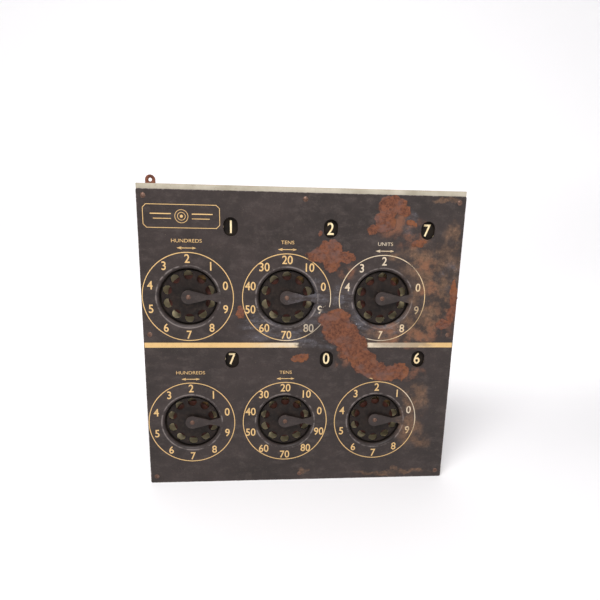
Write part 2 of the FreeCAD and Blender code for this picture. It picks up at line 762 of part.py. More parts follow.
def axles():
    """Every axle ends in the mechanism board, with a nut behind it."""
    radius = "{axle_radius}"
    board_back = "({plate_front} + {plate_thick})"
    tail = f"{board_back} + {{nut_thick}}"
    dial_pins, idler_pins, number_pins, lever_pins = [], [], [], []
    spacers, washers, clips, nuts = [], [], [], []

    def axle(pile, x, z, front):
        pile.append(rod(x, depth(front), z, radius, f"{tail} - ({front})"))
        nuts.append(nut(x, z, board_back))

    def sleeve(pile, x, z, front, back, outer):
        tube = rod(x, depth(front), z, outer, f"({back}) - ({front})")
        bore = rod(x, depth(f"{front} - 1"), z, radius, f"({back}) - ({front}) + 2")
        pile.append(cut(tube, [bore]))

    gear_back = "({gear_front} + {gear_thick} + {end_float})"
    for c, r in DIALS:
        x, z = column_x(c), row_z(r)
        pin = rod(x, depth("0"), z, radius, tail)
        head = dome(x, depth("0"), z, size("axle_head"), size("axle_dome"))
        dial_pins.append(fuse([pin, head]))
        nuts.append(nut(x, z, board_back))
        sleeve(spacers, x, z, "{panel_thick}", "{wheel_front} - {end_float}", "{spacer_radius}")
        sleeve(washers, x, z, gear_back, "{plate_front}", "{spacer_radius}")
        for (x, z), pile, hub in ((idler_centre(c, r), idler_pins, "{idler_hub_front}"),
                                  (number_centre(c, r), number_pins, "{disc_front}")):
            clip_back = f"{hub} - {{end_float}}"
            axle(pile, x, z, f"{clip_back} - {{clip_thick}} - {{stud_end}}")
            sleeve(clips, x, z, f"{clip_back} - {{clip_thick}}", clip_back, "{clip_radius}")
            sleeve(washers, x, z, gear_back, "{plate_front}", "{spacer_radius}")
    for x, z in lever_pivots():
        lever_back = "({lever_front} + {lever_thick} + {lever_hub_long} + {end_float})"
        clip_back = "{lever_front} - {end_float}"
        axle(lever_pins, x, z, f"{clip_back} - {{clip_thick}} - {{stud_end}}")
        sleeve(clips, x, z, f"{clip_back} - {{clip_thick}}", clip_back, "{clip_radius}")
        sleeve(washers, x, z, lever_back, "{plate_front}", "{spacer_radius}")
    named(group(dial_pins), "dial_axles")
    named(group(idler_pins), "idler_studs")
    named(group(number_pins), "number_studs")
    named(group(lever_pins), "lever_studs")
    named(group(spacers), "dial_spacers")
    named(group(washers), "axle_washers")
    named(group(clips), "retaining_clips")
    named(group(nuts), "axle_nuts")


def nut(x, z, front):
    prism = doc.addObject("Part::Prism", "Nut")
    prism.Polygon = 6
    bind(prism, Circumradius="{nut_radius}", Height="{nut_thick}")
    place(prism, x, depth(front), z, ALONG_Y)
    return cut(prism, [rod(x, depth(f"{front} - 1"), z, "{axle_radius}", "{nut_thick} + 2")])


def detent_springs():
    """A leaf spring to the left of each number gear, on a foot against the mechanism board."""
    nose = size("leaf_nose")
    leaf = size("leaf_thick")
    foot = size("leaf_foot")
    wide = size("gear_thick")
    front = size("gear_front")
    face = -(TIP_RADIUS + size("leaf_clear") + nose)
    springs = []
    for c, r in DIALS:
        x, z = number_centre(c, r)
        blade = Part.makeBox(leaf, wide, size("leaf_long"),
                             Vector(face - leaf, front, -size("leaf_below")))
        bump = y_rod(nose, front, front + wide, face, 0.0)
        bump = bump.common(Part.makeBox(2 * nose, wide, 4 * nose, Vector(face, front, -2 * nose)))
        top = size("leaf_long") - size("leaf_below")
        block = Part.makeBox(foot, size("plate_front") - front, foot,
                             Vector(face - foot, front, top - foot))
        spring = doc.addObject("Part::Feature", "Spring")
        spring.Shape = blade.fuse([bump, block]).removeSplitter()
        springs.append(place(spring, x, depth("0"), z))
    named(group(springs), "detent_springs")


# ------------------------------------------------------------------------ build

front_panel()
dust_rings()
frame()
back_cover()
hanger()
panel_screws()
side_screw()
mechanism_plate()
for dial_column, dial_row in DIALS:
    finger_wheel(dial_column, dial_row)
    number_disc(dial_column, dial_row)
    gear_train(dial_column, dial_row)
for (dial_column, dial_row), (pivot_x, pivot_z) in zip(LEVER_PAIRS, lever_pivots()):
    carry_lever(dial_column, dial_row, pivot_x, pivot_z)
axles()
detent_springs()
doc.recompute()

failed = [o.Name for o in doc.Objects if "Invalid" in o.State or "Error" in o.State]
if failed:
    raise SystemExit(f"these objects failed: {failed}")
for node in nodes:
    if node.Shape.isNull() or not node.Shape.isValid() or not node.Shape.Solids:
        raise SystemExit(f"{node.Label} has no valid solid")

os.makedirs("parts", exist_ok=True)
for node in nodes:
    node.Shape.exportStep(f"parts/{node.Label}.step")
print(len(nodes), "sub-parts written")
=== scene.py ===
"""The looks of a darts scoring board: enamel, rust, print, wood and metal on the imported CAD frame."""
import json
import math

import bpy
from mathutils import Matrix, Vector


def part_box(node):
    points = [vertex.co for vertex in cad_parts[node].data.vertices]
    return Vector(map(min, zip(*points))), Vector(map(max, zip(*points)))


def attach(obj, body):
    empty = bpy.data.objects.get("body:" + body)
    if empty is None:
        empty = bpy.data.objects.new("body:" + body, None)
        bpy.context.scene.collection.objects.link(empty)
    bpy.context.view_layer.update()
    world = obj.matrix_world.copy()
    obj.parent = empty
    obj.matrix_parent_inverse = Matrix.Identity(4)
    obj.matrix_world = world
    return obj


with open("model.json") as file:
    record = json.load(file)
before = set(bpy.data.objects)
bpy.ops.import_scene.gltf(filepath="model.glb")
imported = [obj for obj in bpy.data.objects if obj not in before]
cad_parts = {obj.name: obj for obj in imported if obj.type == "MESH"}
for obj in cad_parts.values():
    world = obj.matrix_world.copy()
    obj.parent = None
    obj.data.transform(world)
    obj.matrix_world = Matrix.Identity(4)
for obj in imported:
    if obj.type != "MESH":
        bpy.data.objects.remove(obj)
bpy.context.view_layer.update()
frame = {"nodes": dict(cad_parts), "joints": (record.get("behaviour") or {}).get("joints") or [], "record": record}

MM = 0.001
ROWS = ("upper", "lower")
COLUMNS = ("hundreds", "tens", "units")
DIALS = [f"{row}_{column}" for row in ROWS for column in COLUMNS]
# What each window shows: 127 above, 706 below.
SHOWN = dict(zip(DIALS, (1, 2, 7, 7, 0, 6)))
# Degrees, anticlockwise from the right: where a dial's 0 stands, and from one numeral to the next.
FIRST_NUMERAL = 18.0
STEP = 36.0

# ------------------------------------------------------------ places from the frame

joints = {joint["name"]: joint for joint in frame["joints"]}
PANEL_LOW, PANEL_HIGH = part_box("front_panel")
PANEL_Y = PANEL_LOW.y
DIAL_CENTRE = {name: Vector(joints[f"dial_{name}_turn"]["pos_m"]) for name in DIALS}
DISC_CENTRE = {name: Vector(joints[f"number_{name}_turn"]["pos_m"]) for name in DIALS}
WINDOW_REACH = 116.5 * MM  # from a dial's centre to the middle of its window


# ------------------------------------------------------------------ colours

def linear(red, green, blue):
    """An sRGB colour, 0 to 255, as the linear colour that the shaders take."""
    def channel(value):
        value /= 255
        return value / 12.92 if value <= 0.04045 else ((value + 0.055) / 1.055) ** 2.4
    return channel(red), channel(green), channel(blue), 1.0


# ------------------------------------------------------------- node shorthand

class Shader:
    """One material, with short names for the nodes it is built from."""

    def __init__(self, name):
        self.material = bpy.data.materials.new(name)
        self.material.use_nodes = True
        self.tree = self.material.node_tree
        self.tree.nodes.clear()
        output = self.add("ShaderNodeOutputMaterial")
        self.bsdf = self.add("ShaderNodeBsdfPrincipled")
        self.tree.links.new(self.bsdf.outputs[0], output.inputs[0])
        coordinates = self.add("ShaderNodeTexCoord").outputs["Object"]
        self.place = self.vector("SCALE", coordinates, scale=1 / MM)

    def add(self, kind, **settings):
        node = self.tree.nodes.new(kind)
        for key, value in settings.items():
            setattr(node, key, value)
        return node

    def feed(self, socket, value):
        if isinstance(value, bpy.types.NodeSocket):
            self.tree.links.new(value, socket)
        else:
            socket.default_value = value

    def math(self, operation, first, second=0.0, clamp=False):
        node = self.add("ShaderNodeMath", operation=operation, use_clamp=clamp)
        self.feed(node.inputs[0], first)
        self.feed(node.inputs[1], second)
        return node.outputs[0]

    def vector(self, operation, first, second=None, scale=None):
        node = self.add("ShaderNodeVectorMath", operation=operation)
        self.feed(node.inputs[0], first)
        if second is not None:
            self.feed(node.inputs[1], second)
        if scale is not None:
            node.inputs["Scale"].default_value = scale
        return node.outputs["Value" if operation == "LENGTH" else "Vector"]

    def noise(self, size, detail=4.0, rough=0.55, place=None, colour=False, warp=0.0):
        """Noise whose features are about size millimetres across."""
        node = self.add("ShaderNodeTexNoise")
        self.feed(node.inputs["Vector"], place if place is not None else self.place)
        node.inputs["Scale"].default_value = 1 / size
        node.inputs["Detail"].default_value = detail
        node.inputs["Roughness"].default_value = rough
        node.inputs["Distortion"].default_value = warp
        return node.outputs["Color" if colour else 0]

    def stretched(self, x, y, z):
        """The place, squeezed along each axis, for grain and brush marks."""
        return self.vector("MULTIPLY", self.place, (x, y, z))

    def band(self, value, low, high):
        """0 below low, 1 above high, smooth between; falling where low is above high."""
        node = self.add("ShaderNodeMapRange", interpolation_type="SMOOTHSTEP")
        self.feed(node.inputs["Value"], value)
        rising = low < high
        node.inputs["From Min"].default_value = low if rising else high
        node.inputs["From Max"].default_value = high if rising else low
        node.inputs["To Min"].default_value = 0.0 if rising else 1.0
        node.inputs["To Max"].default_value = 1.0 if rising else 0.0
        return node.outputs["Result"]

    def span(self, value, low, high):
        """A 0 to 1 value spread from low to high."""
        node = self.add("ShaderNodeMapRange")
        self.feed(node.inputs["Value"], value)
        node.inputs["To Min"].default_value = low
        node.inputs["To Max"].default_value = high
        return node.outputs["Result"]

    def mix(self, factor, first, second):
        node = self.add("ShaderNodeMix", data_type="RGBA")
        self.feed(node.inputs[0], factor)
        self.feed(node.inputs[6], first)
        self.feed(node.inputs[7], second)
        return node.outputs[2]

    def bump(self, height, distance, strength=1.0):
        """A relief, distance millimetres high where the height is 1."""
        node = self.add("ShaderNodeBump")
        node.inputs["Strength"].default_value = strength
        node.inputs["Distance"].default_value = distance * MM
        self.feed(node.inputs["Height"], height)
        return node.outputs[0]

    def surface(self, colour, roughness, normal=None, metallic=None, specular=0.5):
        self.bsdf.inputs["Specular IOR Level"].default_value = specular
        self.feed(self.bsdf.inputs["Base Color"], colour)
        self.feed(self.bsdf.inputs["Roughness"], roughness)
        if normal is not None:
            self.feed(self.bsdf.inputs["Normal"], normal)
        if metallic is not None:
            self.feed(self.bsdf.inputs["Metallic"], metallic)
        return self.material

    def spots(self, place, blobs, inner, outer):
        """1 inside a union of tilted ellipses: (x, z, half width, half height, tilt in degrees)."""
        through = 1e5  # so long in y that depth doesn't count
        nearest = None
        for x, z, wide, high, tilt in blobs:
            node = self.add("ShaderNodeMapping", vector_type="TEXTURE")
            self.feed(node.inputs["Vector"], place)
            node.inputs["Location"].default_value = (x, 0, z)
            node.inputs["Rotation"].default_value = (0, -math.radians(tilt), 0)
            node.inputs["Scale"].default_value = (wide, through, high)
            reach = self.vector("LENGTH", node.outputs[0])
            nearest = reach if nearest is None else self.math("MINIMUM", nearest, reach)
        return self.band(nearest, outer, inner)


# ------------------------------------------------- where the front is worn
# Every mark is an ellipse in the panel's plane: x, z, half width and half height in millimetres, tilt
# in degrees. Noise breaks up their edges.

RUST = (
    # top right
    (122, 425, 20, 14, 5), (140, 417, 9, 7, 0), (113, 403, 15, 15, 20), (97, 390, 9, 7, 0),
    (152, 401, 8, 4, -20), (165, 374, 11, 6, 0),
    # above and right of the upper tens dial
    (30, 356, 25, 13, 8), (57, 352, 17, 8, -6), (40, 343, 13, 12, 0), (38, 367, 14, 9, 0),
    (22, 383, 3.5, 3, 0),
    # the long patch down to the lower units dial
    (46, 260, 24, 14, 10), (56, 242, 29, 23, -30), (75, 218, 27, 22, -45), (94, 195, 24, 19, -42),
    (112, 181, 22, 15, -20), (134, 177, 21, 13, 5), (150, 180, 13, 13, 0),
    # small ones
    (-4, 201, 13, 7, 10), (-91, 270, 6, 8, 0),
    # right-hand edge
    (223, 298, 6, 22, 0), (222, 272, 8, 14, 0), (212, 254, 12, 7, 15),
)
# Brown run-off round the rust.
STAIN = (
    (162, 383, 24, 24, 0), (128, 398, 26, 14, 30), (215, 268, 20, 34, 0), (200, 248, 26, 14, 0),
    (178, 338, 20, 14, 0), (160, 232, 40, 16, 0), (118, 250, 22, 16, 0), (170, 176, 16, 10, 0),
    (62, 330, 16, 10, 0), (188, 300, 14, 22, 0), (64, 200, 12, 14, 0),
)
# Dry, beige bloom on the paint.
HAZE = (
    (186, 338, 44, 38, 0), (190, 296, 34, 54, 0), (168, 258, 48, 26, 10), (150, 354, 28, 14, 0),
    (212, 384, 12, 20, 0), (176, 132, 20, 28, 0), (170, 88, 26, 34, 0), (190, 66, 16, 16, 0),
    (158, 238, 44, 16, 0), (7, 16, 12, 5, 0), (150, 8, 66, 4, 0), (200, 432, 20, 5, 0),
    (120, 232, 30, 14, 0),
)
# Bluish rubbing.
SCUFF = (
    (10, 292, 30, 42, 0), (58, 285, 22, 30, 0), (2, 230, 52, 12, -3), (80, 246, 24, 28, 0),
    (-60, 256, 34, 22, 0), (126, 250, 34, 20, 0), (-20, 236, 70, 12, 0), (92, 286, 14, 44, 0),
    (88, 252, 16, 26, 20),
    (150, 400, 10, 20, 0), (212, 330, 12, 26, 0),
)
# Print that is gone, print that is thin, and print that has turned pale.
LOST_PRINT = (
    (30, 222, 40, 13, 0), (64, 221, 30, 12, 0), (33, 272, 8, 9, 0), (68, 256, 26, 28, -30),
    (150, 334, 11, 10, 0), (92, 250, 22, 20, 0), (39, 268, 12, 10, 0),
)
FADED_PRINT = (
    (190, 260, 26, 30, 0), (166, 340, 20, 16, 0), (160, 272, 18, 26, 0), (150, 224, 50, 9, 0),
    (16, 250, 26, 14, 0), (150, 392, 40, 10, 0),
)
BLEACHED = (
    (110, 300, 64, 70, 0), (60, 222, 120, 12, 0), (104, 372, 30, 12, 0), (20, 268, 44, 30, 0),
    (172, 120, 20, 40, 0),
)


def wear_group():
    """A node group that says how worn each place on the front is: one 0 to 1 output for each kind."""
    group = bpy.data.node_groups.new("front_wear", "ShaderNodeTree")
    group.interface.new_socket("Place", in_out="INPUT", socket_type="NodeSocketVector")
    for name in ("Rust", "Stain", "Haze", "Scuff", "Lost", "Bleach"):
        group.interface.new_socket(name, in_out="OUTPUT", socket_type="NodeSocketFloat")
    tool = Shader.__new__(Shader)
    tool.tree = group
    source = tool.add("NodeGroupInput")
    sink = tool.add("NodeGroupOutput")
    tool.place = source.outputs[0]

    def after(place, mask):
        """The same place, worked out only once the mask is, so that few values are held at a time."""
        return tool.vector("ADD", place, tool.math("MULTIPLY", mask, 1e-6))

    def shaken(size, reach, detail):
        cloud = tool.noise(size, detail=detail, rough=0.62, colour=True)
        offset = tool.vector("SUBTRACT", cloud, (0.5, 0.5, 0.5))
        return tool.vector("ADD", tool.place, tool.vector("SCALE", offset, scale=reach))

    ragged = shaken(13.0, 20.0, 9.0)
    rust = tool.spots(ragged, RUST, 0.93, 1.08)
    soft = shaken(30.0, 44.0, 6.0)
    stain = tool.spots(after(soft, rust), STAIN, 0.45, 1.2)
    haze = tool.spots(after(soft, stain), HAZE, 0.55, 1.25)
    crumbs = tool.noise(20.0, detail=9.0, rough=0.66)
    scuff = tool.spots(after(soft, haze), SCUFF, 0.2, 1.3)
    haze = tool.math("MULTIPLY", haze, tool.span(tool.band(crumbs, 0.38, 0.60), 0.10, 1.0))
    stain = tool.math("MULTIPLY", stain, tool.band(crumbs, 0.42, 0.62))
    smear = tool.noise(14.0, detail=8.0, rough=0.7, place=tool.stretched(0.6, 1.0, 1.4))
    scuffed = tool.math("MULTIPLY", scuff, tool.band(smear, 0.42, 0.70))
    flake = tool.spots(after(shaken(4.0, 22.0, 5.0), scuff), LOST_PRINT, 0.85, 1.1)
    faded = tool.math("MULTIPLY", tool.spots(after(soft, flake), FADED_PRINT, 0.6, 1.2), 0.45)
    chips = tool.band(tool.noise(2.2, detail=3.0, rough=0.7), 0.47, 0.55)
    dulled = tool.math("MULTIPLY", haze, 0.9)
    worn_area = tool.math("MAXIMUM", dulled, tool.math("MULTIPLY", scuff, 0.4))
    chipped = tool.math("MULTIPLY", chips, tool.band(worn_area, 0.45, 1.2))
    gone = tool.math("MAXIMUM", rust, flake)
    lost = tool.math("MAXIMUM", gone, tool.math("MAXIMUM", chipped, faded))
    bleach = tool.spots(after(soft, faded), BLEACHED, 0.6, 1.35)
    for socket, value in zip(sink.inputs, (rust, stain, haze, scuffed, lost, bleach)):
        tool.feed(socket, value)
    return group


WEAR = wear_group()
COLUMN_PITCH = DIAL_CENTRE["upper_tens"].x - DIAL_CENTRE["upper_hundreds"].x
ROW_PITCH = DIAL_CENTRE["upper_tens"].z - DIAL_CENTRE["lower_tens"].z


def dial_distance(s):
    """Distance in millimetres from the nearest dial's centre."""
    first = DIAL_CENTRE["lower_hundreds"] / MM
    pitch = Vector((COLUMN_PITCH, 0, ROW_PITCH)) / MM
    corner = Vector((first.x, 0, first.z)) - pitch / 2
    offset = s.vector("MULTIPLY", s.vector("SUBTRACT", s.place, corner), (1, 0, 1))
    whole = s.vector("SNAP", offset, (pitch.x, 1, pitch.z))
    last = ((len(COLUMNS) - 1) * pitch.x, 0, (len(ROWS) - 1) * pitch.z)
    nearest = s.vector("MAXIMUM", s.vector("MINIMUM", whole, last), (0, 0, 0))
    return s.vector("LENGTH", s.vector("SUBTRACT", s.vector("SUBTRACT", offset, pitch / 2), nearest))


def border_nearness(s):
    """Millimetres past the nearest edge of the sheet: 0 at the edge, below 0 inside."""
    middle = (PANEL_LOW + PANEL_HIGH) / 2 / MM
    half = (PANEL_HIGH - PANEL_LOW) / 2 / MM
    offset = s.vector("ABSOLUTE", s.vector("SUBTRACT", s.place, (middle.x, 0, middle.z)))
    inset = s.vector("SUBTRACT", offset, (half.x, 0, half.z))
    split = s.add("ShaderNodeSeparateXYZ")
    s.feed(split.inputs[0], inset)
    return s.math("MAXIMUM", split.outputs[0], split.outputs[2])


def enamel(name, print_colours=None):
    """Black enamel on steel with its wear; or the print on it, given its warm and its pale colour."""
    s = Shader(name)
    wear = s.add("ShaderNodeGroup", node_tree=WEAR)
    s.feed(wear.inputs[0], s.place)
    rust, stain, haze, scuff, lost, bleach = wear.outputs

    cloud = s.noise(55.0, detail=5.0, rough=0.6)
    grain = s.noise(3.2, detail=7.0, rough=0.72)
    wiped = s.noise(14.0, detail=8.0, rough=0.72, place=s.stretched(0.7, 1.0, 1.15))
    paint = s.mix(s.band(cloud, 0.3, 0.7), linear(42, 35, 33), linear(54, 45, 43))
    paint = s.mix(s.math("MULTIPLY", s.band(wiped, 0.46, 0.72), 0.55), paint, linear(78, 68, 65))
    paint = s.mix(s.math("MULTIPLY", s.band(grain, 0.52, 0.75), 0.4), paint, linear(86, 72, 64))
    specks = s.band(s.noise(1.3, detail=2.0, rough=0.5), 0.71, 0.77)
    paint = s.mix(s.math("MULTIPLY", specks, 0.35), paint, linear(140, 122, 106))
    paint = s.mix(s.math("MULTIPLY", scuff, 0.5), paint, linear(112, 110, 118))
    flecks = s.math("MULTIPLY", scuff, s.band(grain, 0.56, 0.66))
    paint = s.mix(s.math("MULTIPLY", flecks, 0.6), paint, linear(176, 174, 178))

    far = dial_distance(s)
    # A thin pale ring on the rolled lip round each dial opening: a painted highlight, and partly paint worn off to
    # bare steel.
    lip_wear_and_highlight = s.math("MULTIPLY", s.band(far, 46.2, 45.4), s.band(far, 43.6, 44.4))
    lip_wear_and_highlight = s.math("MULTIPLY", lip_wear_and_highlight, s.band(wiped, 0.42, 0.56))
    border = s.math("ADD", border_nearness(s), s.math("MULTIPLY", s.math("SUBTRACT", grain, 0.5), 5.0))
    # The sheet's worn edges show bare steel; the lip ring adds its painted highlight in the same pale colour.
    bare = s.math("MAXIMUM", s.math("MULTIPLY", lip_wear_and_highlight, 0.6), s.band(border, -0.9, 0.2))
    paint = s.mix(bare, paint, linear(134, 124, 120))

    haze_tone = s.mix(s.band(grain, 0.3, 0.7), linear(88, 66, 52), linear(144, 110, 84))
    skin = s.mix(s.math("MULTIPLY", haze, 0.6), paint, haze_tone)
    skin = s.mix(s.math("MULTIPLY", stain, 0.65), skin, linear(132, 86, 62))

    oxide = s.noise(4.0, detail=8.0, rough=0.76)
    pits = s.noise(2.0, detail=6.0, rough=0.75)
    rusty = s.mix(s.band(oxide, 0.32, 0.66), linear(72, 45, 35), linear(124, 76, 54))
    rusty = s.mix(s.math("MULTIPLY", s.band(wiped, 0.45, 0.62), 0.6), rusty, linear(104, 80, 75))
    rusty = s.mix(s.math("MULTIPLY", s.band(cloud, 0.48, 0.62), 0.45), rusty, linear(140, 86, 50))
    rusty = s.mix(s.math("MULTIPLY", s.band(pits, 0.50, 0.68), 0.32), rusty, linear(62, 40, 34))
    colour = s.mix(rust, skin, rusty)

    rim = s.math("MULTIPLY", s.band(rust, 0.02, 0.3), s.band(rust, 0.9, 0.4))
    colour = s.mix(s.math("MULTIPLY", rim, 0.7), colour, linear(40, 30, 27))
    roughness = s.span(grain, 0.42, 0.60)
    roughness = s.math("ADD", roughness, s.math("MULTIPLY", haze, 0.25))
    roughness = s.math("MAXIMUM", roughness, s.math("MULTIPLY", rust, 0.92))

    if print_colours is not None:
        warm, pale = print_colours
        ink = s.mix(bleach, warm, pale)
        ink = s.mix(s.math("MULTIPLY", s.band(oxide, 0.5, 0.75), 0.35), ink, linear(146, 114, 76))
        rubbed = s.math("MULTIPLY", s.band(pits, 0.60, 0.70), 0.6)
        colour = s.mix(s.math("MAXIMUM", lost, rubbed), ink, colour)
        matt = s.math("MAXIMUM", roughness, 0.5)
        return s.surface(colour, matt, s.bump(grain, 0.02), specular=0.3)

    swell = s.math("MULTIPLY", cloud, 1.2)
    relief = s.math("ADD", swell, s.math("MULTIPLY", grain, 0.03))
    crust = s.math("MULTIPLY", s.math("ADD", oxide, s.math("MULTIPLY", pits, 0.5)), 0.5)
    relief = s.math("ADD", relief, s.math("MULTIPLY", rust, crust))
    return s.surface(colour, roughness, s.bump(relief, 1.0, 0.9), specular=0.3)


# ------------------------------------------------------------------ other materials

def painted_wood(name, light, dark, bare, grain_axis="x"):
    """Old paint over softwood: grain telegraphs through, chips show wood, and dirt lies in patches."""
    s = Shader(name)
    squeeze = (0.05, 1, 1) if grain_axis == "x" else (1, 1, 0.05)
    grain = s.noise(3.0, detail=6.0, rough=0.6, place=s.stretched(*squeeze))
    cloud = s.noise(40.0, detail=5.0)
    paint = s.mix(s.band(cloud, 0.3, 0.7), light, dark)
    paint = s.mix(s.math("MULTIPLY", s.band(grain, 0.52, 0.72), 0.25), paint, dark)
    dirt = s.math("MULTIPLY", s.band(s.noise(7.0, detail=8.0, rough=0.72), 0.55, 0.75), 0.5)
    paint = s.mix(dirt, paint, linear(112, 98, 74))
    chip = s.band(s.noise(5.0, detail=7.0, rough=0.6, warp=0.6), 0.70, 0.73)
    colour = s.mix(chip, paint, bare)
    height = s.math("SUBTRACT", s.math("MULTIPLY", grain, 0.35), chip)
    return s.surface(colour, s.span(cloud, 0.5, 0.68), s.bump(height, 0.25, 0.7))


def bare_board(name, light, dark, grain_size=2.0, squeeze=(1, 1, 1)):
    """Unpainted board or softwood."""
    s = Shader(name)
    grain = s.noise(grain_size, detail=8.0, rough=0.7, place=s.stretched(*squeeze))
    cloud = s.noise(60.0, detail=4.0)
    colour = s.mix(s.band(grain, 0.3, 0.7), dark, light)
    colour = s.mix(s.math("MULTIPLY", s.band(cloud, 0.4, 0.75), 0.35), colour, dark)
    return s.surface(colour, s.span(grain, 0.6, 0.85), s.bump(grain, 0.12, 0.8))


def old_metal(name, clean, tarnish, rusted, amount, polish=0.35):
    """Metal with tarnish in patches and rust in spots; amount is how much of it has gone."""
    s = Shader(name)
    cloud = s.noise(5.0, detail=6.0, rough=0.65)
    spots = s.noise(2.0, detail=7.0, rough=0.7)
    gone = s.band(spots, 0.74 - 0.4 * amount, 0.80 - 0.4 * amount)
    colour = s.mix(s.band(cloud, 0.35, 0.65), clean, tarnish)
    colour = s.mix(gone, colour, rusted)
    metallic = s.span(gone, 0.9, 0.15)
    roughness = s.math("MAXIMUM", s.span(cloud, polish, polish + 0.2), s.math("MULTIPLY", gone, 0.85))
    return s.surface(colour, roughness, s.bump(spots, 0.12, 0.6), metallic)


def moulded(name, dark, light, polish=0.4, dust=0.35, specular=0.3):
    """Dark moulded plastic or fibre, dulled and dusty with handling."""
    s = Shader(name)
    cloud = s.noise(14.0, detail=6.0, rough=0.65)
    fine = s.noise(1.5, detail=5.0, rough=0.7)
    colour = s.mix(s.band(cloud, 0.35, 0.7), dark, light)
    film = s.math("MULTIPLY", s.band(s.noise(6.0, detail=8.0, rough=0.7), 0.45, 0.75), dust)
    colour = s.mix(film, colour, linear(110, 96, 82))
    return s.surface(colour, s.span(fine, polish, polish + 0.22), s.bump(fine, 0.05, 0.6),
                     specular=specular)


def disc_paint(name, print_colour=None):
    """Matt black card disc, a little browned, with cream numerals."""
    s = Shader(name)
    fine = s.noise(1.2, detail=5.0, rough=0.7)
    cloud = s.noise(12.0, detail=6.0)
    colour = s.mix(s.band(cloud, 0.35, 0.7), linear(20, 16, 13), linear(34, 27, 21))
    if print_colour is not None:
        ink = s.mix(s.band(cloud, 0.35, 0.75), print_colour, linear(226, 198, 150))
        spot = s.math("MULTIPLY", s.band(s.noise(1.6, detail=6.0, rough=0.75), 0.62, 0.72), 0.7)
        colour = s.mix(spot, ink, linear(140, 112, 74))
    return s.surface(colour, s.span(fine, 0.65, 0.85), s.bump(fine, 0.03, 0.5), specular=0.15)


CREAM_LIGHT, CREAM_DARK = linear(184, 175, 158), linear(152, 143, 124)
MATERIAL = {
    "black_paint": enamel("black_enamel"),
    "cream_wood": painted_wood("cream_paint", CREAM_LIGHT, CREAM_DARK, linear(134, 104, 70)),
    "cream_board": painted_wood("cream_board_paint", linear(232, 216, 176), linear(214, 196, 152),
                                linear(128, 100, 64)),
    "bare_wood": bare_board("bare_softwood", linear(176, 142, 98), linear(140, 104, 64), 3.0,
                            (0.06, 1, 1)),
    "hardboard": bare_board("plain_hardboard", linear(122, 88, 58), linear(92, 64, 42), 1.6),
    "aged_steel": old_metal("rusted_steel", linear(126, 102, 90), linear(98, 72, 60),
                            linear(84, 56, 44), 0.55, 0.5),
    "bright_steel": old_metal("dull_steel", linear(176, 174, 168), linear(140, 136, 128),
                              linear(104, 70, 50), 0.15),
    "spring_steel": old_metal("blued_steel", linear(92, 98, 112), linear(70, 70, 78),
                              linear(96, 62, 44), 0.2),
    "coppered_steel": old_metal("coppered_steel", linear(150, 96, 76), linear(104, 66, 54),
                                linear(74, 46, 38), 0.45, 0.4),
    "brass": old_metal("dull_brass", linear(126, 100, 64), linear(92, 72, 48),
                       linear(70, 54, 38), 0.2, 0.5),
    "red_fibre": moulded("red_fibre", linear(56, 27, 20), linear(82, 42, 30), 0.6, 0.12),
    "black_bakelite": moulded("dark_moulding", linear(22, 16, 14), linear(37, 27, 23), 0.42, 0.12, 0.2),
    "disc_black": disc_paint("black_disc"),
}
for entry in frame["record"]["subparts"]:
    node = frame["nodes"][entry["node"]]
    node.data.materials.clear()
    node.data.materials.append(MATERIAL[entry["material_slot"]])
frame["nodes"]["left_stile"].data.materials[0] = painted_wood(
    "cream_paint_upright", CREAM_LIGHT, CREAM_DARK, linear(134, 104, 70), "z")
frame["nodes"]["right_stile"].data.materials[0] = frame["nodes"]["left_stile"].data.materials[0]

PRINT = enamel("printed_gold", (linear(211, 174, 118), linear(206, 190, 166)))
DISC_PRINT = disc_paint("printed_cream", linear(240, 220, 176))

# -------------------------------------------------------------- printed shapes

PRINT_HIGH = 0.06 * MM  # how far print stands off the surface under it
PRINT_DEEP = 0.2 * PRINT_HIGH  # and how far it goes into it


def link(piece):
    bpy.context.scene.collection.objects.link(piece)
    return piece


def mesh_piece(name, vertices, faces, material):
    mesh = bpy.data.meshes.new(name)
    mesh.from_pydata([tuple(v) for v in vertices], [], faces)
    mesh.update()
    mesh.materials.append(material)
    return link(bpy.data.objects.new(name, mesh))


def raised(name, outlines, y, material):
    """Flat shapes in the XZ plane, raised from y to the front; each outline runs anticlockwise."""
    vertices, faces = [], []
    for outline in outlines:
        start = len(vertices)
        count = len(outline)
        for depth in (y - PRINT_HIGH, y + PRINT_DEEP):
            vertices += [(x, depth, z) for x, z in outline]
        faces.append([start + i for i in range(count)])
        faces.append([start + count + i for i in reversed(range(count))])
        for i in range(count):
            j = (i + 1) % count
            faces.append([start + j, start + i, start + count + i, start + count + j])
    return mesh_piece(name, vertices, faces, material)


def ring(name, centre, radius, wide, y, material, segments=144):
    """A painted ring of rectangular section."""
    inner, outer = radius - wide / 2, radius + wide / 2
    front, back = y - PRINT_HIGH, y + PRINT_DEEP
    vertices = []
    for step in range(segments):
        angle = 2 * math.pi * step / segments
        for r, depth in ((inner, front), (outer, front), (outer, back), (inner, back)):
            vertices.append((centre.x + r * math.cos(angle), depth, centre.z + r * math.sin(angle)))
    faces = []
    for step in range(segments):
        here, there = 4 * step, 4 * ((step + 1) % segments)
        for corner in range(4):
            following = (corner + 1) % 4
            faces.append([here + corner, here + following, there + following, there + corner])
    return mesh_piece(name, vertices, faces, material)


